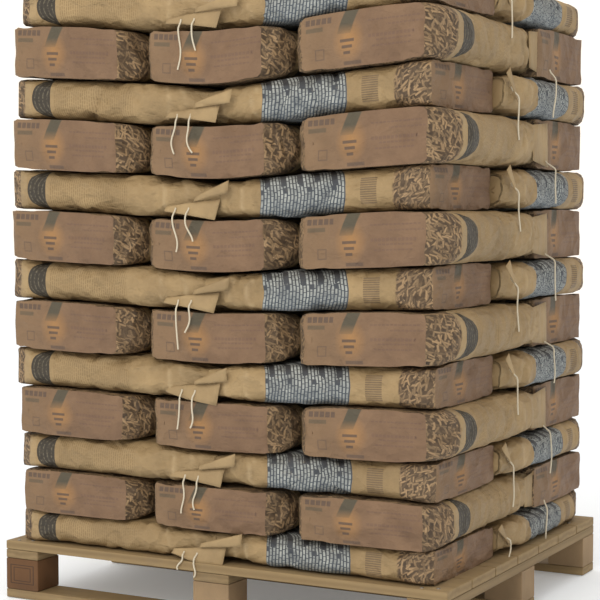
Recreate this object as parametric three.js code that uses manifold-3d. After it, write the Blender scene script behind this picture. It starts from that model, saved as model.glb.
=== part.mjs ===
// A loaded pallet: thirteen layers of five paper sacks of wood pellets on a four-way block pallet.
// Millimetres, +Z up. The origin is the middle of the pallet's footprint, on the floor. The front is -Y.
import * as THREE from "three";
import { mergeVertices } from "three/addons/utils/BufferGeometryUtils.js";
import Module from "manifold-3d";

const wasm = await Module();
wasm.setup();

// The pallet: boards nailed through stringers into nine blocks, over three skids.
const PALLET_LENGTH = 1200; // along X
const PALLET_DEPTH = 1000; // along Y
const BOARD_THICKNESS = 22;
const BLOCK = { x: 98, y: 88, z: 78 };
const DECK_BOARDS = 7;
const DECK_BOARD_WIDTH = 140; // a nearly closed deck
const STRINGER_WIDTH = 98;
const SKID_WIDTH = 88;
const SKID_TOP = BOARD_THICKNESS;
const BLOCK_TOP = SKID_TOP + BLOCK.z;
const STRINGER_TOP = BLOCK_TOP + BOARD_THICKNESS;
const DECK_TOP = STRINGER_TOP + BOARD_THICKNESS;

// The sacks, in a five-sack bond: two end to end in one row and three side by side in the other.
const LAYERS = 13;
const SACK_LENGTH = 608; // from the block bottom to the folded mouth
const MOUTHS_FOLDED = 6; // by this much the mouths of an end-to-end row are pressed into each other
const PITCH_ABREAST = 384; // of the three sacks that lie side by side in the lowest layer
const PRESSED_TOGETHER = 8; // by this much a sack is wider than its pitch
const STACK_DEPTH = 984;
const ROW_LENGTH = 1096; // of the two sacks that lie end to end in the lowest layer
const MOUTH_THICKNESS = 16;
const BLOCK_END_RADIUS = 14;
const SIDE_RADIUS_SHARE = 0.86; // of half the sack's thickness, where the side gusset bulges
const REST_GAP = 0.3; // between a layer and what it lies on

// A layer is pressed thinner the nearer it is to the foot. One whose end-to-end row is in front lies flatter.
const LOOSE_THICKNESS = 114;
const MOST_PRESSED = 26;
const PRESSED_LAYERS = 3;
const BOND_SHARE = 0.1;
const isTurned = (layer) => layer % 2 === 1;
const pressedThickness = (layer) => LOOSE_THICKNESS - MOST_PRESSED * Math.exp(-layer / PRESSED_LAYERS);
const thicknessOf = (layer) => pressedThickness(layer) * (isTurned(layer) ? 1 + BOND_SHARE : 1 - BOND_SHARE);

const STACK_HEIGHT = Array.from({ length: LAYERS }, (_, layer) => thicknessOf(layer)).reduce((a, b) => a + b);

// The stack stands a little to the right at its foot and top, and spreads at half its height.
const LEAN_AT_FOOT = 14;
const LEAN_AT_MIDDLE = -22;
const SPREAD_AT_MIDDLE = 30;
const waistOf = (layer) => Math.sin((Math.PI * layer) / (LAYERS - 1));
const leanOf = (layer) => LEAN_AT_FOOT + LEAN_AT_MIDDLE * waistOf(layer);
const spreadOf = (layer) => SPREAD_AT_MIDDLE * waistOf(layer);
const pitchOf = (layer) => PITCH_ABREAST + spreadOf(layer) / 5;

// How far a hand-stacked sack lies from its true place: -1 to 1, the same every time.
const unevenness = (layer, sack, way) => Math.sin(12.9898 * (layer + 1) + 78.233 * (sack + 1) + 37.719 * way);
const MOST_SLIP = 4; // mm along the sack
const MOST_TURN = 0.7; // degrees

// Where the rings of a sack lie, from its block bottom (0) to its mouth (1), and how full it is there.
const RINGS = [0, 0.02, 0.15, 0.74, 0.9, 1];
const FULLNESS = [1, 1, 1, 1, 0.88, 0.56];
const NARROWING = [1, 0.92, 0, 0, 0.2, 0.5]; // share of the most, below
const NARROWED_BESIDE = 44; // mm less half width than at the bulge, where a sack has neighbours beside it
const NARROWED_ALONE = 24;
const ROUNDNESS = [0, 0.15, 1, 1, 1, 1];
const END_INSET = 7; // the block bottom's edges are eased by this much
const ACROSS = 4; // segments over the width, so that one line of corners lies in the middle
const UPWARD = 3; // segments over the thickness
const TOP_CROWN = 10; // on the uppermost layer the flat's edges lie this much lower than its middle

// The load sinks along its middle, where the thin mouths lie, in two slopes that meet at X = 0.
const SAG_AT_TOP = 34;
const SLOPE_LENGTH = 600;
const NEAR_MIDDLE = 60; // within this of X = 0 a corner of the middle sack is moved to the fold

const radians = THREE.MathUtils.degToRad;
const mix = THREE.MathUtils.lerp;

// A filled sack lying flat: its bottom at the origin's plane, its mouth towards +X, standing on z = 0.
function sackGeometry(length, width, thickness, narrowed, crown) {
  const geometry = new THREE.BoxGeometry(1, 2, 2, RINGS.length - 1, ACROSS, UPWARD);
  const place = geometry.getAttribute("position");
  for (let i = 0; i < place.count; i++) {
    const ring = Math.round((place.getX(i) + 0.5) * (RINGS.length - 1));
    const across = place.getY(i);
    const up = place.getZ(i);
    const half = mix(MOUTH_THICKNESS, thickness, FULLNESS[ring]) / 2;
    const radius = Math.min(half, mix(BLOCK_END_RADIUS, (SIDE_RADIUS_SHARE * thickness) / 2, ROUNDNESS[ring]));
    const inset = ring === 0 ? END_INSET : 0;
    const reach = width / 2 - narrowed * NARROWING[ring] - inset;
    const isSide = Math.abs(across) > 0.99;
    const turn = radians(60 * up);
    const y = isSide ? reach - radius + radius * Math.cos(turn) : reach - radius;
    const flatHalf = half - Math.min(inset, half / 2);
    const z = isSide ? up * (flatHalf - radius) + radius * Math.sin(turn) : up * flatHalf;
    const lowered = up > 0.99 && (across !== 0 || ring < 2) ? crown : 0;
    place.setXYZ(i, RINGS[ring] * length, Math.sign(across) * y, z + thickness / 2 - lowered);
  }
  return geometry;
}

// Lowers a sack in its place in the stack by the load's sag there.
function sink(geometry, isMiddle) {
  const place = geometry.getAttribute("position");
  for (let i = 0; i < place.count; i++) {
    const x = isMiddle && Math.abs(place.getX(i)) < NEAR_MIDDLE ? 0 : place.getX(i);
    const height = (place.getZ(i) - DECK_TOP) / STACK_HEIGHT;
    const sag = SAG_AT_TOP * height * Math.max(0, 1 - Math.abs(x) / SLOPE_LENGTH);
    place.setX(i, x);
    place.setZ(i, place.getZ(i) - sag);
  }
  return geometry;
}

// A closed geometry as a manifold-3d solid.
function solidOf(geometry) {
  const moved = geometry.clone();
  moved.deleteAttribute("normal");
  moved.deleteAttribute("uv");
  const merged = mergeVertices(moved, 1e-3);
  const mesh = new wasm.Mesh({
    numProp: 3,
    vertProperties: merged.getAttribute("position").array,
    triVerts: new Uint32Array(merged.index.array),
  });
  return new wasm.Manifold(mesh);
}

function geometryOf(solid) {
  const { vertProperties, triVerts } = solid.getMesh();
  const geometry = new THREE.BufferGeometry();
  geometry.setAttribute("position", new THREE.BufferAttribute(vertProperties, 3));
  geometry.setIndex(new THREE.BufferAttribute(triVerts, 1));
  geometry.computeVertexNormals();
  return geometry;
}

// The five places of a layer, with the end-to-end row in front: where a sack's bottom is, and which way it points.
function placesOf(layer) {
  const halfLength = (ROW_LENGTH + spreadOf(layer)) / 2;
  const halfDepth = STACK_DEPTH / 2;
  const pitch = pitchOf(layer);
  const endToEnd = [-1, 1].map((side) => ({
    x: side * halfLength,
    y: -halfDepth + (pitch + PRESSED_TOGETHER) / 2,
    heading: side < 0 ? 0 : 180,
    length: halfLength + MOUTHS_FOLDED,
    narrowed: NARROWED_ALONE,
  }));
  const abreast = [-1, 0, 1].map((column) => ({
    x: column * pitch,
    y: halfDepth,
    heading: -90,
    length: SACK_LENGTH,
    narrowed: NARROWED_BESIDE,
    isMiddle: column === 0,
  }));
  return [...endToEnd, ...abreast];
}

// One layer as one solid: five sacks that touch where they bulge, with the grooves between them open.
function layerGeometry(layer, foot) {
  const turned = isTurned(layer) ? 180 : 0; // every second layer is laid the other way round
  const width = pitchOf(layer) + PRESSED_TOGETHER;
  const thickness = thicknessOf(layer) - REST_GAP;
  const crown = layer === LAYERS - 1 ? TOP_CROWN : 0;
  const solids = placesOf(layer).map(({ x, y, heading, length, narrowed, isMiddle }, number) => {
    const slip = MOST_SLIP * unevenness(layer, number, 0);
    const turn = MOST_TURN * unevenness(layer, number, 1);
    const matrix = new THREE.Matrix4()
      .makeTranslation(leanOf(layer), 0, foot + REST_GAP)
      .multiply(new THREE.Matrix4().makeRotationZ(radians(turned)))
      .multiply(new THREE.Matrix4().makeTranslation(x, y, 0))
      .multiply(new THREE.Matrix4().makeRotationZ(radians(heading + turn)))
      .multiply(new THREE.Matrix4().makeTranslation(slip, 0, 0));
    const geometry = sackGeometry(length, width, thickness, narrowed, crown).applyMatrix4(matrix);
    return solidOf(sink(geometry, isMiddle));
  });
  return geometryOf(solids.reduce((whole, next) => whole.add(next)));
}

const paper = () => new THREE.MeshStandardMaterial({ color: 0xb39a72, roughness: 0.75, metalness: 0 });
const boardWood = () => new THREE.MeshStandardMaterial({ color: 0xc2a477, roughness: 0.8, metalness: 0 });
const blockWood = () => new THREE.MeshStandardMaterial({ color: 0xa98a63, roughness: 0.85, metalness: 0 });

function sackLayers() {
  const stack = new THREE.Group();
  let foot = DECK_TOP;
  for (let layer = 0; layer < LAYERS; layer++) {
    const mesh = new THREE.Mesh(layerGeometry(layer, foot), paper());
    mesh.name = `sack_layer_${String(layer + 1).padStart(2, "0")}`;
    stack.add(mesh);
    foot += thicknessOf(layer);
  }
  return stack;
}

// A board or block, by its size and the middle of its underside.
function timber(name, material, size, x, y, foot) {
  const mesh = new THREE.Mesh(new THREE.BoxGeometry(size.x, size.y, size.z), material);
  mesh.name = name;
  mesh.position.set(x, y, foot + size.z / 2);
  return mesh;
}

// Evenly spaced middles of a number of pieces that fill a span from edge to edge.
const spread = (count, span, width) =>
  Array.from({ length: count }, (_, i) => -span / 2 + width / 2 + (i * (span - width)) / (count - 1));

function pallet() {
  const group = new THREE.Group();
  const columns = spread(3, PALLET_LENGTH, BLOCK.x);
  const rows = spread(3, PALLET_DEPTH, BLOCK.y);
  const columnNames = ["left", "middle", "right"];
  const rowNames = ["front", "middle", "back"];
  const skid = { x: PALLET_LENGTH, y: SKID_WIDTH, z: BOARD_THICKNESS };
  const stringer = { x: STRINGER_WIDTH, y: PALLET_DEPTH, z: BOARD_THICKNESS };
  const deckBoard = { x: PALLET_LENGTH, y: DECK_BOARD_WIDTH, z: BOARD_THICKNESS };
  rows.forEach((y, row) => {
    group.add(timber(`skid_${rowNames[row]}`, boardWood(), skid, 0, y, 0));
    columns.forEach((x, column) => {
      group.add(timber(`block_${rowNames[row]}_${columnNames[column]}`, blockWood(), BLOCK, x, y, SKID_TOP));
    });
  });
  columns.forEach((x, column) => {
    group.add(timber(`stringer_${columnNames[column]}`, boardWood(), stringer, x, 0, BLOCK_TOP));
  });
  spread(DECK_BOARDS, PALLET_DEPTH, DECK_BOARD_WIDTH).forEach((y, i) => {
    group.add(timber(`deck_board_${i + 1}`, boardWood(), deckBoard, 0, y, STRINGER_TOP));
  });
  return group;
}

const loadedPallet = new THREE.Group();
loadedPallet.add(pallet(), sackLayers());

export default loadedPallet;
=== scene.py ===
"""Dresses a packed pallet of paper sacks: printed sacks, strings and sawn pallet wood. Metres."""
import math

import bmesh
import bpy
import numpy as np
from mathutils import Matrix
from mathutils import Vector


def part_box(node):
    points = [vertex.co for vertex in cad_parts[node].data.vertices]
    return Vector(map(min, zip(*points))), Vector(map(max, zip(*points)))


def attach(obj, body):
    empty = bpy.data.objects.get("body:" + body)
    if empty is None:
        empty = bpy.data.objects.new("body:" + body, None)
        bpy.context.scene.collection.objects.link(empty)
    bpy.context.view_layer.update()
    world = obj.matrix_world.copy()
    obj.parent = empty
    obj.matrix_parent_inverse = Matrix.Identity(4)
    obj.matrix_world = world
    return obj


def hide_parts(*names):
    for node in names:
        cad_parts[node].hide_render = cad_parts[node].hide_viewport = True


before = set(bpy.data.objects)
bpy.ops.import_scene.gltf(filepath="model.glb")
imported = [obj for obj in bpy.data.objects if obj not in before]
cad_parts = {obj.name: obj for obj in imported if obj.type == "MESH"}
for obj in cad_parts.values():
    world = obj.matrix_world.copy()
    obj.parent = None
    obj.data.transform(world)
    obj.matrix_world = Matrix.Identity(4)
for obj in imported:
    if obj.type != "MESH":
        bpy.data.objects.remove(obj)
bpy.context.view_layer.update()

# Camera: fitted to the pallet's and the stack's corners, for a square picture.
CAMERA_PLACE = (1.986, -3.747, 0.968)
CAMERA_YAW = math.radians(28.3)
CAMERA_PITCH = math.radians(-3.1)
CAMERA_LENS = 98.6
SENSOR = 36.0


def new_piece(name, data):
    piece = bpy.data.objects.new(name, data)
    bpy.context.scene.collection.objects.link(piece)
    return piece


def make_camera():
    data = bpy.data.cameras.new("camera")
    data.lens = CAMERA_LENS
    data.sensor_width = SENSOR
    camera = new_piece("camera", data)
    camera.location = CAMERA_PLACE
    camera.rotation_euler = (math.radians(90.0) + CAMERA_PITCH, 0.0, CAMERA_YAW)
    bpy.context.scene.camera = camera


make_camera()

# The stack, as in the part's source.
LAYERS = 13
DECK_TOP = 0.144
LOOSE_THICKNESS = 0.114
MOST_PRESSED = 0.026
PRESSED_LAYERS = 3
BOND_SHARE = 0.1
ROW_LENGTH_AT_FOOT = 1.096
ROW_BULGE = 0.030
STACK_DEPTH = 0.984
ROW_OFF_FACE = 0.197
PITCH_AT_FOOT = 0.386
PITCH_BULGE = 0.021
MOST_SLIP = 0.004
MOST_TURN = math.radians(0.7)
SAG_AT_TOP = 0.050
SAG_POWER = 1.25
SLOPE_LENGTH = 0.600
FOLD_ROUNDING = 0.045
LAYER_GAP = 0.0003

# The sack, abreast of others or end to end with one: its size, and how it narrows at its two ends.
SACK_LENGTH = 0.608
END_TO_END_WIDTH = 0.388
MEETING_LAP = 0.006
BOTTOM_WIDTH = {"abreast": 0.306, "end_to_end": 0.352}
FLARE_LENGTH = {"abreast": 0.085, "end_to_end": 0.060}
MOUTH_TAPER = {"abreast": 0.018, "end_to_end": 0.010}
CORNER_AT_BOTTOM = 0.002
RINGS = 62
AROUND = 60
RINGS_AT_BOTTOM = (0.0, 0.0015, 0.004, 0.009, 0.016)
FIRST_EVEN_RING = 0.024


def layer_name(layer):
    return f"sack_layer_{layer + 1:02d}"


def is_turned(layer):
    return layer % 2 == 1


def thickness_of(layer):
    pressed = LOOSE_THICKNESS - MOST_PRESSED * math.exp(-layer / PRESSED_LAYERS)
    return pressed * (1 + BOND_SHARE if is_turned(layer) else 1 - BOND_SHARE)


FEET = [DECK_TOP]
for layer in range(LAYERS):
    FEET.append(FEET[-1] + thickness_of(layer))
STACK_HEIGHT = FEET[-1] - DECK_TOP


def smooth(low, high, value):
    t = np.clip((value - low) / (high - low), 0.0, 1.0)
    return t * t * (3.0 - 2.0 * t)


def waist(layer):
    return math.sin(math.pi * layer / (LAYERS - 1))


def long_waist(layer):
    return math.sin(math.pi * layer / (LAYERS + 1))


def lean(layer, kind):
    """How far along X a layer's sacks of one kind stand off the pallet's middle, as in the photograph."""
    if kind == "end_to_end" and is_turned(layer):
        return 0.012 - 0.022 * waist(layer) + 0.006 * float(smooth(4, 9, layer))
    if kind == "end_to_end":
        at_foot = 0.015 * float(smooth(2, 0, layer))
        return 0.010 - 0.022 * waist(layer) - 0.018 * float(smooth(4, 9, layer)) - at_foot
    at_foot = 0.014 * float(smooth(3, 1, layer))
    at_top = 0.022 * float(smooth(9.5, 12.5, layer))
    return 0.016 - 0.030 * long_waist(layer) - at_foot - at_top


def pitch(layer):
    return PITCH_AT_FOOT + PITCH_BULGE * long_waist(layer)


def unevenness(layer, sack, way):
    """A steady value from -1 to 1 that looks random."""
    return math.sin(12.9898 * (layer + 1) + 78.233 * (sack + 1) + 37.719 * way)


def places(layer):
    """Each sack's bottom, heading in degrees, length and kind, before the layer is turned."""
    wider_at_foot = 0.005 + 0.006 * float(smooth(2, 0, layer))
    half_length = (ROW_LENGTH_AT_FOOT + ROW_BULGE * waist(layer)) / 2 + wider_at_foot
    half_depth = STACK_DEPTH / 2
    found = []
    for side in (-1, 1):
        heading = 0 if side < 0 else 180
        start = (side * half_length, -half_depth + ROW_OFF_FACE)
        found.append((*start, heading, half_length + MEETING_LAP, "end_to_end"))
    for column in (-1, 0, 1):
        found.append((column * pitch(layer), half_depth, -90, SACK_LENGTH, "abreast"))
    return found


def sag(layer, x):
    """How far the surface under a layer sinks along the stack's middle: more, the higher it is."""
    share = (FEET[layer] - DECK_TOP) / STACK_HEIGHT
    slope = np.clip(1 - np.sqrt(x * x + FOLD_ROUNDING**2) / SLOPE_LENGTH, 0, 1)
    return SAG_AT_TOP * share * slope**SAG_POWER


def foot_height(layer, x):
    return FEET[layer] - sag(layer, x)


def top_height(layer, x):
    return FEET[layer + 1] - LAYER_GAP - sag(layer + 1, x)


def lattice(seed, *cells):
    """Hashes whole numbers to values from 0 to 1, the same on every run."""
    mixed = seed * 374761393
    for prime, cell in zip((668265263, 2147483647, 1274126177), cells):
        mixed = mixed + cell.astype(np.int64) * prime
    mixed = (mixed ^ (mixed >> 13)) * 1274126177
    mixed = mixed ^ (mixed >> 16)
    return (mixed & 0xFFFFF) / float(0xFFFFF)


def noise(seed, a, b):
    """Smooth noise from -1 to 1 over two coordinates."""
    a0 = np.floor(a)
    b0 = np.floor(b)
    fa = a - a0
    fb = b - b0
    fa = fa * fa * (3 - 2 * fa)
    fb = fb * fb * (3 - 2 * fb)
    low = lattice(seed, a0, b0) * (1 - fa) + lattice(seed, a0 + 1, b0) * fa
    high = lattice(seed, a0, b0 + 1) * (1 - fa) + lattice(seed, a0 + 1, b0 + 1) * fa
    return (low * (1 - fb) + high * fb) * 2 - 1


class Sack:
    """One filled sack: where it lies and how it is creased."""

    def __init__(self, layer, number, place):
        x, y, heading, length, kind = place
        self.layer = layer
        self.number = number
        self.length = length
        self.kind = kind
        self.width = END_TO_END_WIDTH if kind == "end_to_end" else pitch(layer) + 0.002
        self.bottom_width = BOTTOM_WIDTH[kind]
        self.rng = np.random.default_rng(1000 * layer + number)
        angle = math.pi if is_turned(layer) else 0.0
        self.slip = MOST_SLIP * unevenness(layer, number, 0)
        self.x = lean(layer, kind) + x * math.cos(angle) - y * math.sin(angle)
        self.y = x * math.sin(angle) + y * math.cos(angle)
        self.angle = angle + math.radians(heading) + MOST_TURN * unevenness(layer, number, 1)
        self.is_top = layer == LAYERS - 1
        self.print_shift = self.shift_of_print()
        self.name = f"sack_{layer + 1:02d}_{number + 1}"

    def shift_of_print(self):
        """How far round the bottom's fold the print is pulled."""
        if is_turned(self.layer):
            return 0.0
        if self.kind == "abreast":
            return -0.012
        return 0.052 if self.number == 0 else 0.0

    def world(self, x, y, level):
        """Places local x along the sack, y across it, and level from 0, its foot, to 1, its top."""
        x = x + self.slip
        world_x = self.x + x * math.cos(self.angle) - y * math.sin(self.angle)
        world_y = self.y + x * math.sin(self.angle) + y * math.cos(self.angle)
        foot = foot_height(self.layer, world_x)
        top = top_height(self.layer, world_x)
        return np.stack([world_x, world_y, foot + (top - foot) * level], -1)


def ring_positions(length):
    """Distances along a sack: close together at the folded bottom, then even."""
    even = np.linspace(FIRST_EVEN_RING, length, RINGS - len(RINGS_AT_BOTTOM))
    return np.concatenate([RINGS_AT_BOTTOM, even])


def section(sack, x):
    """Half width, share of the thickness and corner roundness of the sack at each distance x along it."""
    t = x / sack.length
    half_bottom = sack.bottom_width / 2
    flare = np.clip(x / FLARE_LENGTH[sack.kind], 0, 1)
    flare = flare * (1.6 - 0.6 * flare)
    half = half_bottom + (sack.width / 2 - half_bottom) * flare
    half = half - MOUTH_TAPER[sack.kind] * smooth(0.82, 1.0, t)
    fullness = 1.0 - 0.03 * smooth(0.70, 0.86, t) - 0.10 * smooth(0.86, 1.0, t) ** 1.5
    roundness = 0.04 + 0.76 * smooth(0.0, 0.10, x) - 0.34 * smooth(0.74, 0.92, t)
    return half, fullness, roundness


def outline(half, height, roundness):
    """Points of one ring, from the left side's middle round over the top, and how far each is from it."""
    radius = min(max(CORNER_AT_BOTTOM, height * roundness), height)
    arc = radius * math.pi / 2
    straight = height - radius
    quarter = half - radius + arc + straight
    per_quarter = AROUND // 4
    s = quarter * ((np.arange(per_quarter) + 0.5) / per_quarter) ** 1.35
    theta = np.clip((s - straight) / radius, 0, math.pi / 2)
    on_top = s >= straight + arc
    y = np.where(on_top, half - radius - (s - straight - arc), half - radius + radius * np.cos(theta))
    z = np.where(s < straight, s, np.where(on_top, height, straight + radius * np.sin(theta)))
    upper = ((y, z, s, 1), (-y[::-1], z[::-1], s[::-1], -1))
    order = (*upper, (-y, -z, -s, -1), (y[::-1], -z[::-1], -s[::-1], 1))
    columns = [np.concatenate([part[i] for part in order]) for i in range(3)]
    side = np.concatenate([np.full(per_quarter, float(part[3])) for part in order])
    return (*columns, side)


SLANTING_FOLDS = 18
UPRIGHT_FOLDS = (0.74, 0.83, 0.93)
SHOULDERS = ((0.80, 1.0), (0.90, 0.7))
PLEAT_DEPTH = 0.003
SHOULDER_RISE = 0.0022
LUMP = 0.0042
FINE_LUMP = 0.0014
MOUTH_TUCK = 0.008
EDGE_WAVER = 0.0060
DENT = 0.0045
TOP_CROWN = 0.16
TOP_END_DROP = 0.10

# How a sack's ends are closed: material slot, how far in the closing line ends, push and shares of the rings.
PAPER_SLOT = 0
BOTTOM_SLOT = 1
BOTTOM_MARGIN = 0.03
MOUTH_MARGIN = 0.05
END_PUSH = 0.004
BOTTOM_SHARES = (0.98, 0.9, 0.78, 0.64, 0.5, 0.36, 0.22, 0.08)
MOUTH_SHARES = (0.85, 0.5, 0.1)


def crease(distance, along, depth, width, length):
    """A sharp fold line: deepest at its middle, dying out at its ends."""
    return depth * np.exp(-np.abs(distance) / width) * np.exp(-((along / length) ** 2))


def folds(sack, x, q, side):
    """How deep the paper is creased at each point, and the shoulders that stand up near the mouth."""
    rng = sack.rng
    t = x / sack.length
    depth = np.zeros_like(x)
    for _ in range(SLANTING_FOLDS):
        hand = rng.choice((-1.0, 1.0))
        centre_x = sack.length * rng.uniform(0.40, 0.95)
        centre_q = rng.uniform(-0.05, 0.05)
        turn = math.atan(rng.uniform(-1.4, 1.4))
        length = rng.uniform(0.03, 0.08)
        most = rng.uniform(0.003, 0.009)
        across = (x - centre_x) * math.cos(turn) - (q - centre_q) * math.sin(turn)
        along = (x - centre_x) * math.sin(turn) + (q - centre_q) * math.cos(turn)
        depth += (side * hand > 0) * crease(across, along, most, 0.0055, length)
    for share in UPRIGHT_FOLDS:
        place = sack.length * (share + rng.uniform(-0.015, 0.015))
        slant = rng.uniform(-0.25, 0.25)
        depth += crease(x - place - slant * q, q, rng.uniform(0.002, 0.005), 0.005, 0.09)
    pleats = np.maximum(0, np.sin(q * 130 + 3 * noise(17 * sack.layer + sack.number, q * 12, t * 2)))
    depth += PLEAT_DEPTH * pleats * smooth(0.84, 0.99, t)
    shoulder = np.zeros_like(x)
    for start, strength in SHOULDERS:
        place = sack.length * (start + rng.uniform(-0.03, 0.03)) - 7.0 * q * q
        shoulder += strength * np.exp(-(((x - place) / 0.0035) ** 2)) * np.exp(-((q / 0.055) ** 4))
    return depth - SHOULDER_RISE * shoulder, shoulder


class SackMesh:
    """Vertices, faces and print coordinates of one sack, ring by ring."""

    def __init__(self, sack):
        self.sack = sack
        self.vertices = []
        self.faces = []
        self.slots = []
        self.values = {name: [] for name in ("along", "quirk", "side", "shoulder_highlight", "end_level", "end_share")}
        self.shape()
        for i in range(RINGS):
            prints = (self.x[i] + sack.print_shift, self.quirk[i], self.side[i], self.shoulder_highlight[i])
            self.add_ring(self.x[i], self.y[i], self.level[i], prints)
        for i in range(RINGS - 1):
            for j in range(AROUND):
                k = (j + 1) % AROUND
                near = i * AROUND
                far = near + AROUND
                self.add_face((near + j, near + k, far + k, far + j), PAPER_SLOT, False)
        self.close(0, sack.bottom_width / 2 - BOTTOM_MARGIN, BOTTOM_SHARES, BOTTOM_SLOT, -END_PUSH)
        self.close(RINGS - 1, sack.width / 2 - MOUTH_MARGIN, MOUTH_SHARES, PAPER_SLOT, END_PUSH)

    def shape(self):
        """Works out the rings: distance along, across, level, distance round, side and shoulder."""
        sack = self.sack
        rings = ring_positions(sack.length)
        half, fullness, roundness = section(sack, rings)
        thickness = thickness_of(sack.layer)
        found = [outline(half[i], thickness / 2, roundness[i]) for i in range(RINGS)]
        y, z, q, side = (np.array([one[i] for one in found]) for i in range(4))
        x = np.repeat(rings[:, None], AROUND, 1)
        t = x / sack.length
        half = half[:, None]
        fullness = fullness[:, None]
        # The foot stays down where the sack is thin, so it droops onto what it lies on.
        level = z * fullness / thickness + 0.5 - (1 - fullness) * 0.5
        seed = 17 * sack.layer + sack.number
        away = smooth(0.02, 0.10, x)
        lumps = 0.5 + 0.5 * noise(seed, x * 22, q * 26 + side * 9)
        fine = 0.5 + 0.5 * noise(seed + 91, x * 60, q * 60 + side * 5)
        depth, shoulder = folds(sack, x, q, side)
        inward = away * (LUMP * lumps + FINE_LUMP * fine + depth)
        # The lower half of the flat mouth is tucked under.
        inward = inward + MOUTH_TUCK * smooth(0.72, 0.92, t) * smooth(0.5, 0.0, level)
        # The bottom's upright edges waver.
        inward = inward + EDGE_WAVER * (1 - away) * (0.5 + 0.5 * noise(seed + 33, q * 34, side * 3))
        at_side = smooth(0.62, 0.80, np.abs(y) / half)
        y = y * (1 - inward / np.maximum(np.abs(y), 0.02) * at_side)
        off_middle = smooth(0.5, 0.9, np.abs(level - 0.5) * 2) * smooth(0.45, 0.75, np.abs(y) / half)
        level = level - np.sign(level - 0.5) * inward / thickness * 0.9 * off_middle
        if sack.is_top:
            crown = (np.abs(y) / half) ** 2.4
            ends = 1 - smooth(0.0, 0.12, t) * (1 - 0.4 * smooth(0.7, 1.0, t))
            upper = np.clip((level - 0.5) * 2, 0, 1)
            level = level - upper * (TOP_CROWN * crown + TOP_END_DROP * ends)
        self.x, self.y, self.level = x, y, level
        # The shoulder amount also masks the painted highlight on the sack's body.
        self.quirk, self.side, self.shoulder_highlight = q, side, shoulder

    def add_ring(self, x, y, level, prints):
        """Adds one ring of points, with where its prints lie, and lists their numbers."""
        start = len(self.vertices)
        self.vertices.extend(self.sack.world(x, y, level).tolist())
        columns = (*prints, level, y / self.sack.bottom_width)
        for name, column in zip(self.values, columns):
            self.values[name].extend(column.tolist())
        return list(range(start, start + AROUND))

    def add_face(self, face, slot, is_flipped):
        self.faces.append(face[::-1] if is_flipped else face)
        self.slots.append(slot)

    def close(self, ring, half_line, shares, slot, push):
        """Closes an end with rings that shrink to a middle line, pushed out or in and a little dented."""
        sack = self.sack
        is_flipped = ring != 0
        previous = list(range(ring * AROUND, (ring + 1) * AROUND))
        ring_y = self.y[ring]
        ring_level = self.level[ring]
        middle_level = float(ring_level.mean())
        nothing = np.zeros(AROUND)
        for share in shares:
            y = ring_y * share + (1 - share) * np.clip(ring_y, -half_line, half_line)
            level = middle_level + (ring_level - middle_level) * share
            dent = noise(31 * sack.layer + sack.number, y * 13, level * 2.2)
            dent = dent + 0.45 * noise(57 * sack.layer + sack.number, y * 34 + level * 3, level * 5)
            x = self.x[ring] + (push + DENT * dent) * (1 - share**3)
            current = self.add_ring(x, y, level, (x, nothing, nothing, nothing))
            for j in range(AROUND):
                k = (j + 1) % AROUND
                self.add_face((previous[j], current[j], current[k], previous[k]), slot, is_flipped)
            previous = current
        # Close the slit between the upper and lower half of the last ring.
        for j in range(AROUND // 2 - 1):
            upper = (previous[j], previous[AROUND - 1 - j])
            lower = (previous[AROUND - 2 - j], previous[j + 1])
            self.add_face(upper + lower, slot, is_flipped)


def build_sack(sack, materials):
    shape = SackMesh(sack)
    mesh = bpy.data.meshes.new(sack.name)
    mesh.from_pydata(shape.vertices, [], shape.faces)
    mesh.update()
    columns = dict(shape.values)
    columns["alone"] = np.full(len(shape.vertices), 1.0 if sack.kind == "end_to_end" else 0.0)
    columns["tint"] = np.full(len(shape.vertices), sack.rng.uniform(-1, 1))
    for name, values in columns.items():
        attribute = mesh.attributes.new(name, "FLOAT", "POINT")
        attribute.data.foreach_set("value", np.array(values, dtype=np.float32))
    for material in materials:
        mesh.materials.append(material)
    mesh.polygons.foreach_set("material_index", np.array(shape.slots, dtype=np.int32))
    mesh.polygons.foreach_set("use_smooth", np.ones(len(shape.faces), dtype=bool))
    piece = new_piece(sack.name, mesh)
    sharpen_bottom(mesh)
    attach(piece, "root")
    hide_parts(layer_name(sack.layer))


def sharpen_bottom(mesh):
    """Marks the block bottom's outline as sharp, so that its folds stay crisp."""
    for edge in mesh.edges:
        if max(edge.vertices) < AROUND:
            edge.use_edge_sharp = True


def set_inputs(node, values):
    for name, value in values.items():
        node.inputs[name].default_value = value


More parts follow.
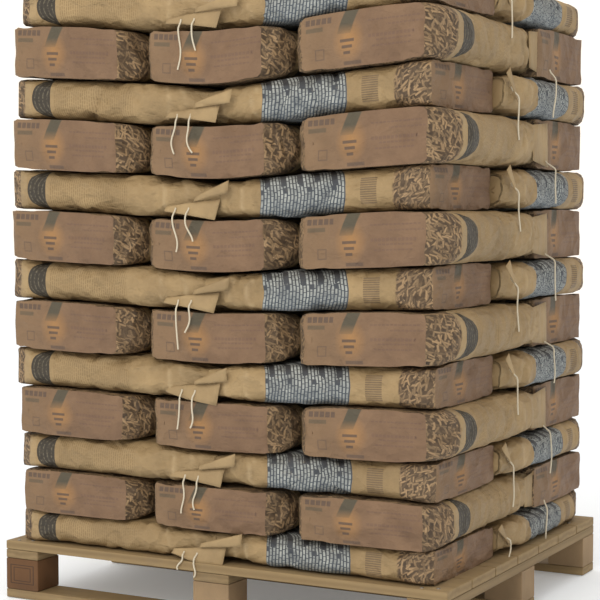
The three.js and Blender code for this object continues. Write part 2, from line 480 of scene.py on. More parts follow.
class Graph:
    """A material's node tree, with short calls for what this script uses."""

    def __init__(self, name):
        self.material = bpy.data.materials.new(name)
        self.material.use_nodes = True
        self.tree = self.material.node_tree
        self.tree.nodes.clear()
        self.colour = None
        self.output = self.tree.nodes.new("ShaderNodeOutputMaterial")
        self.shader = self.tree.nodes.new("ShaderNodeBsdfPrincipled")
        self.tree.links.new(self.shader.outputs[0], self.output.inputs[0])

    def node(self, kind, **values):
        made = self.tree.nodes.new(kind)
        for key, value in values.items():
            setattr(made, key, value)
        return made

    def put(self, socket, value):
        if isinstance(value, bpy.types.NodeSocket):
            self.tree.links.new(value, socket)
        else:
            socket.default_value = value

    def math(self, operation, *values, clamp=False):
        made = self.node("ShaderNodeMath", operation=operation, use_clamp=clamp)
        for socket, value in zip(made.inputs, values):
            self.put(socket, value)
        return made.outputs[0]

    def times(self, first, *others):
        for other in others:
            first = self.math("MULTIPLY", first, other)
        return first

    def plus(self, a, b):
        return self.math("ADD", a, b)

    def minus(self, a, b):
        return self.math("SUBTRACT", a, b)

    def over(self, a, b):
        return self.math("DIVIDE", a, b)

    def below(self, value, limit):
        return self.math("LESS_THAN", value, limit)

    def above(self, value, limit):
        return self.math("GREATER_THAN", value, limit)

    def size(self, value):
        return self.math("ABSOLUTE", value)

    def in_cell(self, value, length):
        """Goes from 0 to 1 over each length."""
        return self.math("FRACT", self.over(value, length))

    def vector(self, operation, *values):
        made = self.node("ShaderNodeVectorMath", operation=operation)
        for socket, value in zip(made.inputs, values):
            self.put(socket, value)
        return made.outputs[0]

    def attribute(self, name):
        return self.node("ShaderNodeAttribute", attribute_name=name).outputs["Fac"]

    def place(self):
        return self.node("ShaderNodeTexCoord").outputs["Object"]

    def combine(self, x, y, z=0.0):
        made = self.node("ShaderNodeCombineXYZ")
        for socket, value in zip(made.inputs, (x, y, z)):
            self.put(socket, value)
        return made.outputs[0]

    def split(self, vector):
        made = self.node("ShaderNodeSeparateXYZ")
        self.put(made.inputs[0], vector)
        return made.outputs

    def noise_node(self, vector, scale, detail=2.0, roughness=0.5):
        made = self.node("ShaderNodeTexNoise")
        self.put(made.inputs["Vector"], vector)
        set_inputs(made, {"Scale": scale, "Detail": detail, "Roughness": roughness})
        return made

    def noise(self, vector, scale, detail=2.0, roughness=0.5):
        return self.noise_node(vector, scale, detail, roughness).outputs["Fac"]

    def warped(self, vector, scale, amount):
        """The vector pushed about by soft noise."""
        push = self.noise_node(vector, scale).outputs["Color"]
        return self.vector("MULTIPLY_ADD", push, (amount, amount, 0.0), vector)

    def voronoi(self, vector, scale):
        made = self.node("ShaderNodeTexVoronoi", voronoi_dimensions="2D")
        self.put(made.inputs["Vector"], vector)
        set_inputs(made, {"Scale": scale})
        return made.outputs

    def range(self, value, low, high, to_low=0.0, to_high=1.0, kind="LINEAR"):
        made = self.node("ShaderNodeMapRange", interpolation_type=kind)
        self.put(made.inputs["Value"], value)
        set_inputs(made, {"From Min": low, "From Max": high, "To Min": to_low, "To Max": to_high})
        return made.outputs[0]

    def between(self, value, low, high, soft=0.001):
        """1 where value lies between low and high, with soft edges."""
        rising = self.range(value, low - soft, low + soft, kind="SMOOTHSTEP")
        falling = self.range(value, high - soft, high + soft, 1.0, 0.0, kind="SMOOTHSTEP")
        return self.times(rising, falling)

    def mix(self, factor, a, b):
        made = self.node("ShaderNodeMix", data_type="RGBA")
        self.put(made.inputs["Factor"], factor)
        for socket, value in ((made.inputs[6], a), (made.inputs[7], b)):
            self.put(socket, (*value, 1.0) if isinstance(value, tuple) else value)
        return made.outputs[2]

    def paint(self, mask, ink, strength=1.0):
        """Lays ink over the material's colour where the mask is 1."""
        self.colour = self.mix(self.times(mask, strength), self.colour, ink)

    def bump(self, height, strength, distance, normal=None):
        made = self.node("ShaderNodeBump")
        set_inputs(made, {"Strength": strength, "Distance": distance})
        self.put(made.inputs["Height"], height)
        if normal is not None:
            self.put(made.inputs["Normal"], normal)
        return made.outputs[0]

    def finish(self, roughness, normal):
        colour = self.colour
        self.put(self.shader.inputs["Base Color"], (*colour, 1.0) if isinstance(colour, tuple) else colour)
        self.put(self.shader.inputs["Roughness"], roughness)
        if normal is not None:
            self.put(self.shader.inputs["Normal"], normal)
        return self.material


# Colours, linear.
KRAFT = (0.365, 0.252, 0.120)
KRAFT_DARK = (0.225, 0.150, 0.066)
# Pale kraft: real wear and fibres, and also the painted highlight on the raised shoulders.
KRAFT_WEAR_AND_HIGHLIGHT = (0.50, 0.375, 0.215)
KRAFT_PINK = (0.207, 0.122, 0.066)
KRAFT_ROSE = (0.150, 0.085, 0.045)
KRAFT_WARM = (0.235, 0.150, 0.073)
BAND_DARK = (0.038, 0.030, 0.020)
BAND_LIGHT = (0.15, 0.13, 0.085)
PANEL_DARK = (0.040, 0.040, 0.042)
PANEL_BLUE = (0.065, 0.085, 0.110)
PANEL_PALE = (0.36, 0.38, 0.36)
PELLET_DARK = (0.038, 0.023, 0.012)
PELLET_MID = (0.110, 0.068, 0.035)
PELLET_PALE = (0.370, 0.243, 0.125)
STRIPE = (0.075, 0.062, 0.038)
GLOW = (0.36, 0.185, 0.060)
INK_BROWN = (0.085, 0.055, 0.040)
TEXT_MAUVE = (0.105, 0.058, 0.048)
STRING = (0.66, 0.60, 0.47)
STRING_SHADE = (0.50, 0.44, 0.33)
WOOD_GRIME = (0.16, 0.12, 0.08)
BURNT = (0.018, 0.011, 0.007)
NAIL = (0.22, 0.20, 0.18)
FLOOR = (0.85, 0.915, 1.0)

# Prints along the sack, from its bottom.
PELLETS_END = 0.080
STRIP_END = 0.104
BAND_START = 0.106
BAND_END = 0.172
FINE_ROWS_END = 0.400
PANEL_START = 0.196
PANEL_END = 0.412
PELLET_SCALES = (70.0, 60.0, 78.0)


def kraft(graph, vector, tint):
    """Bare kraft paper: soft mottling, long fibres and a shade of its own for each sack."""
    mottle = graph.noise(vector, 9.0, 4.0, 0.6)
    fibre = graph.noise(graph.vector("MULTIPLY", vector, (30.0, 260.0, 30.0)), 1.0, 2.0, 0.7)
    tone = graph.plus(graph.range(mottle, 0.30, 0.70), graph.times(tint, 0.16))
    graph.colour = graph.mix(graph.math("ADD", tone, 0.0, clamp=True), KRAFT_DARK, KRAFT)
    graph.paint(fibre, KRAFT_WEAR_AND_HIGHLIGHT, 0.10)
    return mottle


def crumpled(graph, vector, strength):
    """Bumps of handled paper: soft wrinkles, flat facets with sharp edges between them, and grain."""
    wrinkles = graph.noise(graph.vector("MULTIPLY", vector, (1.0, 1.6, 1.0)), 24.0, 5.0, 0.62)
    facets = graph.voronoi(graph.warped(vector, 9.0, 0.09), 19.0)["Distance"]
    normal = graph.bump(wrinkles, strength, 0.010)
    normal = graph.bump(facets, 0.75 * strength, 0.018, normal)
    return graph.bump(graph.noise(vector, 420.0), 0.12, 0.0005, normal)


def finish_paper(graph, vector, mottle, strength):
    """Scuffs, fine wrinkles and the paper's dull sheen."""
    scuff = graph.noise(vector, 55.0, 5.0, 0.7)
    graph.paint(graph.range(scuff, 0.60, 0.78, 0.0, 0.18), KRAFT_WEAR_AND_HIGHLIGHT)
    return graph.finish(graph.range(mottle, 0.2, 0.8, 0.62, 0.78), crumpled(graph, vector, strength))


def pellet_layer(graph, vector, scale, offset):
    """Scattered short rods: a soft mask and a shade for one layer of them."""
    stretch = (scale, scale, scale)
    moved = graph.vector("ADD", vector, offset)
    cells = graph.voronoi(moved, scale)
    middle = graph.vector("MULTIPLY", cells["Position"], stretch)
    away = graph.vector("SUBTRACT", graph.vector("MULTIPLY", moved, stretch), middle)
    colour = graph.node("ShaderNodeSeparateColor")
    graph.put(colour.inputs[0], cells["Color"])
    turn = graph.node("ShaderNodeVectorRotate", rotation_type="Z_AXIS")
    graph.put(turn.inputs["Vector"], away)
    graph.put(turn.inputs["Angle"], graph.math("MULTIPLY_ADD", colour.outputs[0], 2.0, 0.1))
    parts = graph.split(turn.outputs[0])
    across = graph.size(parts[1])
    along = graph.size(parts[0])
    mask = graph.times(graph.range(across, 0.20, 0.13), graph.range(along, 0.74, 0.60))
    lit = graph.math("MULTIPLY_ADD", colour.outputs[1], 1.0, 0.15)
    return mask, graph.times(graph.range(across, 0.30, 0.04), lit)


def pellet_colour(graph, vector):
    """The printed pellets that run round the sack at its bottom."""
    bent = graph.warped(vector, 26.0, 0.012)
    shade = graph.noise(vector, 75.0, 4.0, 0.6)
    colour = graph.mix(graph.range(shade, 0.30, 0.70), PELLET_DARK, PELLET_MID)
    for number, scale in enumerate(PELLET_SCALES):
        mask, lit = pellet_layer(graph, bent, scale, (0.31 * number, 0.17 * number, 0.0))
        colour = graph.mix(graph.times(mask, 0.95), colour, graph.mix(lit, PELLET_DARK, PELLET_PALE))
    blotch = graph.noise(vector, 19.0, 3.0, 0.6)
    return graph.mix(graph.range(blotch, 0.45, 0.70, 0.0, 0.40), colour, PELLET_MID)


def dashes(graph, along, across, row, dash, duty_row, duty_dash, seed):
    """Rows of broken dashes, like a block of print that can't be read."""
    rows = graph.over(along, row)
    random_row = graph.node("ShaderNodeTexWhiteNoise", noise_dimensions="1D")
    graph.put(random_row.inputs["W"], graph.plus(graph.math("FLOOR", rows), seed))
    start = random_row.outputs["Value"]
    length = graph.math("MULTIPLY_ADD", start, 0.8 * dash, 0.7 * dash)
    cells = graph.plus(graph.over(across, length), graph.times(start, 7.3))
    off_middle = graph.size(graph.minus(graph.math("FRACT", rows), 0.5))
    ink_dash = graph.below(graph.math("FRACT", cells), duty_dash)
    return graph.times(graph.below(off_middle, duty_row / 2), ink_dash)


def paint_panel(graph, vector, along, quirk, left):
    """Dashed panel with curved ends: heavy heads over broken upright lines."""
    bow = graph.times(quirk, quirk, 5.5)
    waver = graph.times(graph.minus(graph.noise(vector, 16.0), 0.5), 0.006)
    curved = graph.plus(graph.minus(along, bow), waver)
    ground = graph.mix(graph.range(quirk, 0.045, -0.05), PANEL_DARK, PANEL_BLUE)
    pale_dash = dashes(graph, curved, quirk, 0.0086, 0.013, 0.60, 0.86, 11.0)
    heavy = graph.below(graph.in_cell(curved, 0.043), 0.32)
    uneven = graph.times(graph.noise(graph.vector("MULTIPLY", vector, (24.0, 0.5, 1.0)), 1.0, 1.0), 0.05)
    at_top = graph.above(graph.plus(quirk, uneven), 0.045)
    lower = graph.math("FRACT", graph.plus(graph.over(curved, 0.061), 0.4))
    lower = graph.times(graph.below(lower, 0.2), graph.between(quirk, 0.004, 0.016))
    heads = graph.math("MAXIMUM", graph.times(heavy, at_top), lower)
    pale_dash = graph.times(pale_dash, graph.minus(1.0, heads))
    worn = graph.range(graph.noise(vector, 34.0, 4.0, 0.65), 0.30, 0.62, 0.35, 1.0)
    ink = graph.mix(graph.times(pale_dash, worn), ground, PANEL_PALE)
    graph.paint(graph.times(graph.between(curved, PANEL_START, PANEL_END, 0.0008), left), ink)


def paint_ruled_block(graph, along, quirk, left):
    """Ruled block near the bottom, without numbers."""
    rules = graph.below(graph.in_cell(quirk, 0.0052), 0.55)
    block = graph.times(graph.between(along, 0.120, 0.160), graph.between(quirk, -0.034, 0.030), left)
    graph.paint(block, KRAFT_DARK, 0.45)
    graph.paint(graph.times(block, rules), INK_BROWN, 0.60)


def paint_band(graph, vector, along, quirk, right):
    """The dark band: it bows towards the bottom on sacks end to end, and away from it on the rest."""
    alone = graph.attribute("alone")
    bow = graph.times(quirk, quirk, 13.0)
    bow_low = graph.times(bow, alone)
    bowed = graph.plus(along, graph.minus(bow, graph.times(bow_low, 2.0)))
    low_edge = graph.above(graph.minus(along, bow_low), BAND_START)
    high_bow = graph.plus(along, graph.minus(bow, bow_low))
    high_edge = graph.below(graph.math("MULTIPLY_ADD", alone, 0.010, high_bow), BAND_END)
    arcs = graph.below(graph.in_cell(bowed, 0.0125), 0.30)
    arcs = graph.times(arcs, graph.range(graph.noise(vector, 150.0, 1.0), 0.40, 0.60))
    ink = graph.mix(graph.times(arcs, 0.75), BAND_DARK, BAND_LIGHT)
    graph.paint(graph.times(low_edge, high_edge, right), ink)


def body_material():
    """Kraft paper with the prints that run round the sack."""
    graph = Graph("sack_body")
    along = graph.attribute("along")
    quirk = graph.attribute("quirk")
    side = graph.attribute("side")
    tint = graph.attribute("tint")
    sheet = graph.combine(along, quirk, graph.times(side, 0.7))
    vector = graph.vector("ADD", sheet, graph.combine(graph.times(tint, 3.1), graph.times(tint, 1.7)))
    right = graph.below(side, -0.5)
    left = graph.above(side, 0.5)
    mottle = kraft(graph, vector, tint)
    # Fine upright rows on the right-hand side.
    fine = dashes(graph, along, quirk, 0.0062, 0.010, 0.45, 0.82, 3.0)
    fine_zone = graph.times(graph.between(along, BAND_END, FINE_ROWS_END), right)
    graph.paint(graph.times(fine, fine_zone, graph.between(quirk, -0.06, 0.058)), KRAFT_DARK, 0.75)
    paint_panel(graph, vector, along, quirk, left)
    paint_ruled_block(graph, along, quirk, left)
    paint_band(graph, vector, along, quirk, right)
    # A lighter strip between the pellets and the band.
    graph.paint(graph.times(graph.between(along, PELLETS_END, STRIP_END, 0.002), right), KRAFT_WEAR_AND_HIGHLIGHT, 0.15)
    edge = graph.times(graph.minus(graph.noise(vector, 40.0), 0.5), 0.014)
    pellets = graph.between(graph.plus(along, edge), -1.0, PELLETS_END, 0.003)
    graph.paint(pellets, pellet_colour(graph, vector))
    # Worn ridges.
    # Painted highlight: the raised shoulders near the mouth are drawn paler, in the pale kraft colour.
    graph.paint(graph.attribute("shoulder_highlight"), KRAFT_WEAR_AND_HIGHLIGHT, 0.45)
    return finish_paper(graph, vector, mottle, 0.90)


def flap_material():
    """The inside of the paper, a little paler, for the folded mouths."""
    graph = Graph("sack_flap")
    vector = graph.place()
    mottle = kraft(graph, vector, 0.0)
    graph.paint(1.0, KRAFT_WEAR_AND_HIGHLIGHT, 0.10)
    return finish_paper(graph, vector, mottle, 0.50)


def string_material():
    graph = Graph("closing_string")
    graph.colour = graph.mix(graph.noise(graph.place(), 700.0, 1.0), STRING, STRING_SHADE)
    return graph.finish(0.85, None)


# Marks on the bottom: top, foot, left and right as shares of it, then how dark.
SHORT_BARS = ((0.50, 0.555, 0.33, 0.445), (0.61, 0.665, 0.345, 0.43), (0.72, 0.775, 0.36, 0.415))
FAINT_ROWS = (
    (0.215, 0.240, 0.55, 0.96, 0.45),
    (0.315, 0.345, 0.70, 0.98, 0.35),
    (0.47, 0.53, 0.56, 0.93, 0.35),
    (0.57, 0.60, 0.62, 0.90, 0.40),
    (0.67, 0.70, 0.58, 0.90, 0.40),
)


def end_material():
    """The folded block bottom: pinkish kraft with a stripe, a warm patch and plain marks."""
    graph = Graph("sack_bottom")
    share = graph.attribute("end_share")
    level = graph.attribute("end_level")
    tint = graph.attribute("tint")
    u = graph.minus(0.5, share)
    v = graph.minus(1.0, level)
    vector = graph.combine(graph.times(share, BOTTOM_WIDTH["abreast"]), graph.times(level, 0.115), tint)
    mottle = graph.noise(vector, 14.0, 4.0, 0.6)
    graph.colour = graph.mix(graph.range(mottle, 0.3, 0.7), KRAFT_ROSE, KRAFT_PINK)
    graph.paint(graph.range(u, 0.0, 0.55, 0.45, 0.0), KRAFT_WARM)

    def bar(top, foot, left, right, soft_v=0.008, soft_u=0.003):
        return graph.times(graph.between(v, top, foot, soft_v), graph.between(u, left, right, soft_u))

    def broken(mask, length, share_inked):
        return graph.times(mask, graph.below(graph.in_cell(u, length), share_inked))

    # Warm patch behind the stripe.
    du = graph.over(graph.minus(u, 0.40), 0.135)
    dv = graph.over(graph.minus(v, 0.52), 0.42)
    distance = graph.math("SQRT", graph.plus(graph.math("POWER", du, 2.0), graph.math("POWER", dv, 2.0)))
    graph.paint(graph.range(distance, 1.0, 0.15), GLOW, 0.75)
    # Stripe from the top edge, leaning a little.
    slanted = graph.plus(u, graph.times(v, 0.16))
    stripe = graph.times(graph.between(slanted, 0.370, 0.478, 0.006), graph.below(v, 0.40))
    graph.paint(graph.times(stripe, graph.range(v, 0.22, 0.40, 1.0, 0.25)), STRIPE)
    for place in SHORT_BARS:
        graph.paint(bar(*place, 0.006), INK_BROWN, 0.85)
    # A broken bar and a small plate at the top left.
    graph.paint(broken(bar(0.075, 0.185, 0.035, 0.262), 0.046, 0.80), INK_BROWN, 0.80)
    graph.paint(bar(0.235, 0.315, 0.05, 0.195), STRIPE, 0.6)
    # A small square outline at the lower left.
    square_u = graph.size(graph.minus(u, 0.165))
    square_v = graph.times(graph.size(graph.minus(v, 0.73)), 0.38)
    graph.paint(graph.between(graph.math("MAXIMUM", square_u, square_v), 0.030, 0.038, 0.002), INK_BROWN, 0.6)
    # A plain bar near the lower edge, and faint rows at the right.
    graph.paint(bar(0.90, 0.965, 0.36, 0.50, 0.008, 0.004), INK_BROWN, 0.7)
    for *place, strength in FAINT_ROWS:
        graph.paint(broken(bar(*place, 0.012, 0.004), 0.031, 0.78), TEXT_MAUVE, strength)
    return graph.finish(0.68, crumpled(graph, vector, 0.75))


STAMP_HALF_WIDTH = 0.036
STAMP_HALF_HEIGHT = 0.024


def wood_material(name, stretch, base, dark, is_stamped=False):
    """Sawn softwood, with its grain drawn out along the board."""
    graph = Graph(name)
    place = graph.place()
    drawn_out = graph.vector("MULTIPLY", place, stretch)
    grain = graph.noise(drawn_out, 1.0, 5.0, 0.6)
    wave = graph.node("ShaderNodeTexWave", wave_type="BANDS", bands_direction="Z")
    graph.put(wave.inputs["Vector"], drawn_out)
    set_inputs(wave, {"Scale": 0.55, "Distortion": 5.0, "Detail": 3.0})
    tone = graph.plus(graph.times(grain, 0.6), graph.times(wave.outputs["Fac"], 0.35))
    graph.colour = graph.mix(tone, dark, base)
    graph.paint(graph.range(graph.noise(place, 5.0, 3.0), 0.45, 0.8, 0.0, 0.35), dark)
    graph.paint(graph.range(graph.noise(place, 13.0, 5.0, 0.7), 0.52, 0.75, 0.0, 0.30), WOOD_GRIME)
    if is_stamped:
        graph.paint(stamp(graph, place), BURNT, 0.75)
    saw = graph.noise(graph.vector("MULTIPLY", place, tuple(7.0 * value for value in stretch)), 1.0)
    normal = graph.bump(grain, 0.4, 0.002)
    normal = graph.bump(saw, 0.25, 0.0006, normal)
    return graph.finish(0.80, normal)


def stamp(graph, place):
    """A plain burnt frame, one inside the other, on the near face of the near left block."""
    low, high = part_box("block_front_left")
    parts = graph.split(place)
    across = graph.size(graph.minus(parts[0], (low.x + high.x) / 2))
    up = graph.size(graph.minus(parts[2], (low.z + high.z) / 2))
    reach = graph.math("MAXIMUM", graph.over(across, STAMP_HALF_WIDTH), graph.over(up, STAMP_HALF_HEIGHT))
    outer = graph.between(reach, 0.92, 1.0, 0.02)
    inner = graph.between(reach, 0.66, 0.73, 0.02)
    is_near = graph.below(parts[1], low.y + 0.003)
    return graph.times(graph.math("MAXIMUM", outer, inner), is_near)


EASED_EDGE = 0.0025
TIMBER_GAP = 0.0006


def timber_mesh(name, low, high, rng):
    """A sawn board or block: edges eased and worn, faces not quite flat."""
    size = high - low
    shape = bmesh.new()
    bmesh.ops.create_cube(shape, size=1.0)
    for vertex in shape.verts:
        vertex.co = Vector((vertex.co[i] * (size[i] - TIMBER_GAP) for i in range(3)))
    bmesh.ops.bevel(shape, geom=shape.edges[:], offset=EASED_EDGE, segments=2, affect="EDGES", profile=0.6)
    longest = max(range(3), key=lambda i: size[i])
    pieces = 14 if size[longest] > 0.5 else 3
    along = Vector((float(i == longest) for i in range(3)))
    for k in range(1, pieces):
        cut_at = along * (size[longest] * (k / pieces - 0.5))
        everything = shape.verts[:] + shape.edges[:] + shape.faces[:]
        bmesh.ops.bisect_plane(shape, geom=everything, plane_co=cut_at, plane_no=along)
    wander = rng.uniform(-1, 1, 3)
    for vertex in shape.verts:
        bend = math.sin(vertex.co[longest] * 5.0 + 3.0 * wander[0])
        for i in (0, 1):
            if i != longest:
                vertex.co[i] *= 1.0 - 0.004 * (1 + bend * wander[1]) / 2
        vertex.co = vertex.co + (low + high) / 2
    return mesh_from(shape, name)


def mesh_from(shape, name):
    mesh = bpy.data.meshes.new(name)
    shape.to_mesh(mesh)
    shape.free()
    return mesh


def dress_pallet():
    board = wood_material("wood_along_x", (2.0, 34.0, 34.0), (0.335, 0.240, 0.116), (0.180, 0.118, 0.054))
    stringer = wood_material("wood_along_y", (34.0, 2.0, 34.0), (0.30, 0.212, 0.105), (0.155, 0.103, 0.047))
    block = wood_material("wood_block", (16.0, 16.0, 5.0), (0.345, 0.236, 0.128), (0.20, 0.132, 0.070))
    dark_block = ((16.0, 16.0, 5.0), (0.150, 0.068, 0.022), (0.085, 0.038, 0.013))
    marked = wood_material("wood_marked", *dark_block, is_stamped=True)
    rng = np.random.default_rng(5)
    for name in list(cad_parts):
        if name.startswith("sack"):
            continue
        low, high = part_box(name)
        mesh = timber_mesh(name + "_sawn", low, high, rng)
        material = board
        if name.startswith("stringer"):
            material = stringer
        if name.startswith("block"):
            material = marked if name == "block_front_left" else block
        mesh.materials.append(material)
        piece = new_piece(name + "_sawn", mesh)
        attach(piece, "root")
        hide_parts(name)
    make_nails()


def make_nails():
    """Nail heads on the deck's first and last boards, over the blocks."""
    graph = Graph("nail_steel")
    graph.colour = NAIL
    set_inputs(graph.shader, {"Metallic": 0.8})
    shape = bmesh.new()
    for row in (1, 7):
        low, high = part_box(f"deck_board_{row}")
        for block_name in ("left", "middle", "right"):
            block_low, block_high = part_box(f"block_front_{block_name}")
            for share_x, share_y in ((0.32, 0.10), (0.68, 0.17)):
                x = block_low.x + share_x * (block_high.x - block_low.x)
                y = low.y + share_y * (high.y - low.y)
                matrix = Matrix.Translation((x, y, high.z + 0.0004))
                bmesh.ops.create_cone(shape, cap_ends=True, segments=10, radius1=0.005, radius2=0.004,
                                      depth=0.0016, matrix=matrix)
    mesh = mesh_from(shape, "deck_nails")
    mesh.materials.append(graph.finish(0.45, None))
    nails = new_piece("deck_nails", mesh)
    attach(nails, "root")


# The folded mouths: ears, hanging flaps and strings.
PAPER_THICKNESS = 0.0012
SHEET_STEPS = 4
MOUTH_LEVEL = 0.42
STRING_DIAMETER = 0.004
STRING_POINTS = 18
FRONT_STRINGS = ((-0.072, 0.098), (-0.036, 0.088))


def paper_piece(name, layer, rows, material):
    """A thin closed strip of folded paper through rows of points, all of one length."""
    points = np.array(rows, dtype=float)
    count, across = points.shape[:2]
    down = np.gradient(points, axis=0)
    over = np.gradient(points, axis=1)
    normal = np.cross(down, over)
    normal /= np.maximum(np.linalg.norm(normal, axis=-1, keepdims=True), 1e-9)
    front = points + normal * PAPER_THICKNESS / 2
    back = points - normal * PAPER_THICKNESS / 2
    vertices = np.concatenate([front.reshape(-1, 3), back.reshape(-1, 3)]).tolist()
    size = count * across
    faces = []
    for i in range(count - 1):
        for j in range(across - 1):
            a = i * across + j
            quad = (a, a + 1, a + across + 1, a + across)
            faces.append(quad)
            faces.append(tuple(size + k for k in quad[::-1]))
    rim = list(range(across))
    rim += [i * across + across - 1 for i in range(1, count)]
    rim += [(count - 1) * across + j for j in range(across - 2, -1, -1)]
    rim += [i * across for i in range(count - 2, 0, -1)]
    for a, b in zip(rim, rim[1:] + rim[:1]):
        faces.append((b, a, size + a, size + b))
    mesh = bpy.data.meshes.new(name)
    mesh.from_pydata(vertices, [], faces)
    mesh.polygons.foreach_set("use_smooth", np.ones(len(faces), dtype=bool))
    mesh.materials.append(material)
    mesh.update()
    piece = new_piece(name, mesh)
    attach(piece, "root")
    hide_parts(layer_name(layer))


def quad_rows(corners, steps, bulge, rng):
    """Rows of points over a bent sheet; its corners are start low, start high, end low and end high."""
    start_low, start_high, end_low, end_high = (np.array(corner, dtype=float) for corner in corners)
    rows = []
    twist = rng.uniform(-0.003, 0.003)
    for i in range(steps + 1):
        s = i / steps
        low = start_low + (end_low - start_low) * s
        high = start_high + (end_high - start_high) * s
        row = []
        for j in range(SHEET_STEPS + 1):
            r = j / SHEET_STEPS
            lift = bulge * math.sin(math.pi * s) * math.sin(math.pi * (0.15 + 0.7 * r))
            lift += twist * math.sin(5 * s + 3 * r)
            row.append(low + (high - low) * r + np.array([0.0, -lift, 0.0]))
        rows.append(row)
    return rows


def placed(corners, layer):
    """Turns a sheet's corners round to the back for a turned layer."""
    if not is_turned(layer):
        return corners
    return [(-x, -y, z) for x, y, z in corners]


def mouth_height(layer):
    return float(foot_height(layer, 0.0)) + MOUTH_LEVEL * thickness_of(layer)


def dress_middle_mouth(layer, material):
    """The ear and the hanging flap where two end-to-end sacks meet, at the front or, turned, at the back."""
    rng = np.random.default_rng(500 + layer)
    hand = -1 if is_turned(layer) else 1
    base = mouth_height(layer)
    face = -STACK_DEPTH / 2
    x = lean(layer, "end_to_end") * hand + rng.uniform(-0.008, 0.010)
    tip = rng.uniform(0.070, 0.100)
    rise = rng.uniform(0.038, 0.052)
    deep = rng.uniform(0.028, 0.036)
    ear = [
        (x - 0.030, face - 0.001, base + 0.002),
        (x - 0.026, face - 0.002, base + 0.012),
        (x + tip - 0.010, face - 0.008, base + rise - deep),
        (x + tip - 0.004, face - 0.013, base + rise),
    ]
    rows = quad_rows(placed(ear, layer), 8, 0.004 * hand, rng)
    paper_piece(f"ear_{layer + 1:02d}", layer, rows, material)
    drop = rng.uniform(0.036, 0.048)
    fold = [(x - 0.064, face - 0.003, base - drop + 0.016), (x - 0.054, face + 0.003, base - 0.002)]
    start = [(x - 0.112, face + 0.002, base - 0.020), (x - 0.104, face + 0.003, base - 0.008)]
    end = [(x + 0.030, face - 0.004, base - drop + 0.002), (x + 0.040, face + 0.004, base + 0.008)]
    rows = quad_rows(placed(start + fold, layer), 4, 0.0, rng)
    rows += quad_rows(placed(fold + end, layer), 6, 0.0, rng)[1:]
    paper_piece(f"mouth_flap_{layer + 1:02d}", layer, rows, material)


def dress_side_mouth(layer, material):
    """The mouth of the right-hand sack of three: a flap on a turned layer, or else a slender ear."""
    rng = np.random.default_rng(700 + layer)
    foot = FEET[layer]
    thick = thickness_of(layer)
    side = lean(layer, "abreast") + pitch(layer) * 1.5
    if is_turned(layer):
        x = side - 0.004
        y = -STACK_DEPTH / 2 + SACK_LENGTH
        corners = [
            (x - 0.010, y - 0.060, foot + 0.14 * thick),
            (x - 0.010, y - 0.066, foot + 0.84 * thick),
            (x - 0.020, y + 0.074, foot + 0.03 * thick),
            (x - 0.018, y + 0.064, foot + 0.92 * thick),
        ]
    else:
        x = side - 0.010
        y = STACK_DEPTH / 2 - SACK_LENGTH
        corners = [
            (x + 0.004, y + 0.050, foot + 0.28 * thick),
            (x + 0.003, y + 0.054, foot + 0.36 * thick),
            (x + 0.002, y - 0.018, foot + 0.90 * thick),
            (x + 0.004, y - 0.002, foot + 1.04 * thick),
        ]
    paper_piece(f"side_flap_{layer + 1:02d}", layer, quad_rows(corners, 7, 0.0, rng), material)


def hang_string(name, points, material):
    """A closing string through the points, at its real length."""
    curve = bpy.data.curves.new(name, "CURVE")
    curve.dimensions = "3D"
    curve.bevel_depth = STRING_DIAMETER / 2
    curve.bevel_resolution = 2
    spline = curve.splines.new("POLY")
    spline.points.add(len(points) - 1)
    for point, place in zip(spline.points, points):
        point.co = (*place, 1.0)
    curve.materials.append(material)
    piece = new_piece(name, curve)
    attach(piece, "root")


def falling(drop, reach, rng):
    """Steps off the face, along it and down of a string that comes out of a mouth and hangs."""
    phase = rng.uniform(0, 6)
    sway = rng.uniform(-0.012, 0.012)
    curl = rng.uniform(-0.012, 0.012)
    steps = []
    for i in range(STRING_POINTS):
        s = i / (STRING_POINTS - 1)
        away = 0.001 + reach * float(smooth(0.0, 0.22, s))
        along = sway * math.sin(5.7 * s + phase) * s + curl * s**3
        steps.append((away, along, -drop * s))
    return steps


def hang_front_strings(layer, rng, material):
    """The tails at the middle mouth: two at the front, or one at the back for a turned layer."""
    hand = -1 if is_turned(layer) else 1
    tails = FRONT_STRINGS[:1] if is_turned(layer) else FRONT_STRINGS
    for number, (shift, drop) in enumerate(tails):
        if layer == 0:
            drop = 0.050
        drop = drop * rng.uniform(0.85, 1.2)
        x = lean(layer, "end_to_end") + hand * shift
        y = -hand * (STACK_DEPTH / 2 - 0.001)
        z = mouth_height(layer) - 0.012
        points = [(x + step, y - hand * away, z + down) for away, step, down in falling(drop, 0.012, rng)]
        hang_string(f"string_{layer + 1:02d}_{number + 1}", points, material)


def hang_side_string(layer, rng, material):
    """The tail at the right-hand sack's mouth, which clears the layer below."""
    if is_turned(layer):
        x = lean(layer, "end_to_end") + 0.570
        y = -STACK_DEPTH / 2 + SACK_LENGTH + 0.052
        level = 0.16
        below = layer - 1
        reach = lean(below, "abreast") + 1.5 * pitch(below) + 0.004 - x
    else:
        x = lean(layer, "abreast") + pitch(layer) * 1.5 - 0.018
        y = STACK_DEPTH / 2 - SACK_LENGTH + 0.034
        level = 0.62
        reach = 0.020
    z = FEET[layer] + level * thickness_of(layer)
    drop = rng.uniform(0.10, 0.13)
    if layer == 0:
        drop = 0.055
    points = [(x + away, y + step, z + down) for away, step, down in falling(drop, reach, rng)]
    hang_string(f"string_{layer + 1:02d}_3", points, material)


# The world clips to white; it is weaker towards the right, where the photograph is in shade.
WORLD_COLOUR = (1.0, 0.94, 0.86, 1.0)
WORLD_STRENGTH = 1.18
WORLD_STRENGTH_RIGHT = 0.80
FLOOR_HALF = 14.0
FLOOR_GLOW = 0.14
KEY_PLACE = (0.7, -4.4, 3.5)
KEY_TARGET = (0.0, 0.0, 1.0)
KEY_SIZE = 1.8
KEY_POWER = 72.0
KEY_COLOUR = (1.0, 0.96, 0.90)


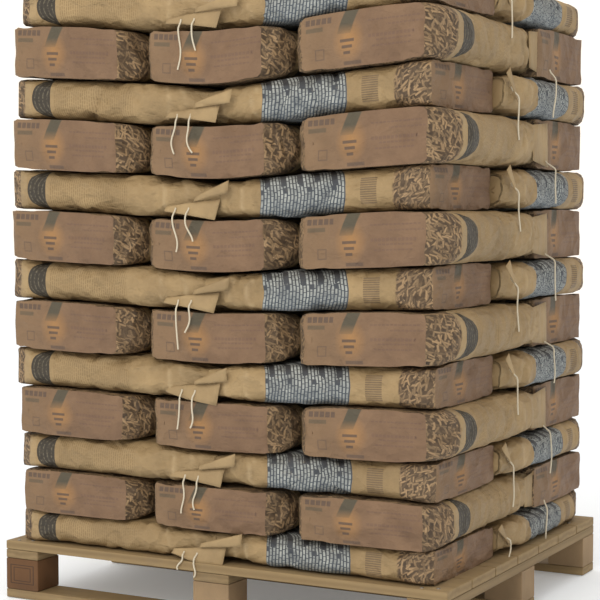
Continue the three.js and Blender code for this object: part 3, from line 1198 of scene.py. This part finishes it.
def make_stage():
    mesh = bpy.data.meshes.new("floor")
    corners = [(x * FLOOR_HALF, y * FLOOR_HALF, 0) for x, y in ((-1, -1), (1, -1), (1, 1), (-1, 1))]
    mesh.from_pydata(corners, [], [(0, 1, 2, 3)])
    floor = new_piece("floor", mesh)
    floor.location.z = -0.001
    graph = Graph("floor")
    graph.colour = FLOOR
    set_inputs(graph.shader, {"Emission Color": (1.0, 1.0, 1.0, 1.0), "Emission Strength": FLOOR_GLOW})
    mesh.materials.append(graph.finish(0.9, None))


def make_light():
    world = bpy.data.worlds.new("world")
    bpy.context.scene.world = world
    world.use_nodes = True
    tree = world.node_tree
    background = tree.nodes["Background"]
    set_inputs(background, {"Color": WORLD_COLOUR})
    place = tree.nodes.new("ShaderNodeTexCoord")
    parts = tree.nodes.new("ShaderNodeSeparateXYZ")
    falloff = tree.nodes.new("ShaderNodeMapRange")
    tree.links.new(place.outputs["Generated"], parts.inputs[0])
    tree.links.new(parts.outputs[0], falloff.inputs["Value"])
    set_inputs(falloff, {"From Min": 0.0, "From Max": 0.8})
    set_inputs(falloff, {"To Min": WORLD_STRENGTH, "To Max": WORLD_STRENGTH_RIGHT})
    tree.links.new(falloff.outputs[0], background.inputs["Strength"])
    data = bpy.data.lights.new("key", "AREA")
    data.shape = "SQUARE"
    data.size = KEY_SIZE
    data.energy = KEY_POWER
    data.color = KEY_COLOUR
    light = new_piece("key", data)
    light.location = KEY_PLACE
    light.rotation_euler = (Vector(KEY_TARGET) - Vector(KEY_PLACE)).to_track_quat("-Z", "Y").to_euler()


body = body_material()
bottom = end_material()
for layer in range(LAYERS):
    for number, place in enumerate(places(layer)):
        build_sack(Sack(layer, number, place), (body, bottom))
flap_paper = flap_material()
string = string_material()
for layer in range(LAYERS):
    dress_middle_mouth(layer, flap_paper)
    dress_side_mouth(layer, flap_paper)
for layer in range(LAYERS):
    rng = np.random.default_rng(900 + layer)
    hang_front_strings(layer, rng, string)
    hang_side_string(layer, rng, string)
dress_pallet()
make_stage()
make_light()
bpy.context.scene.view_settings.view_transform = "Standard"
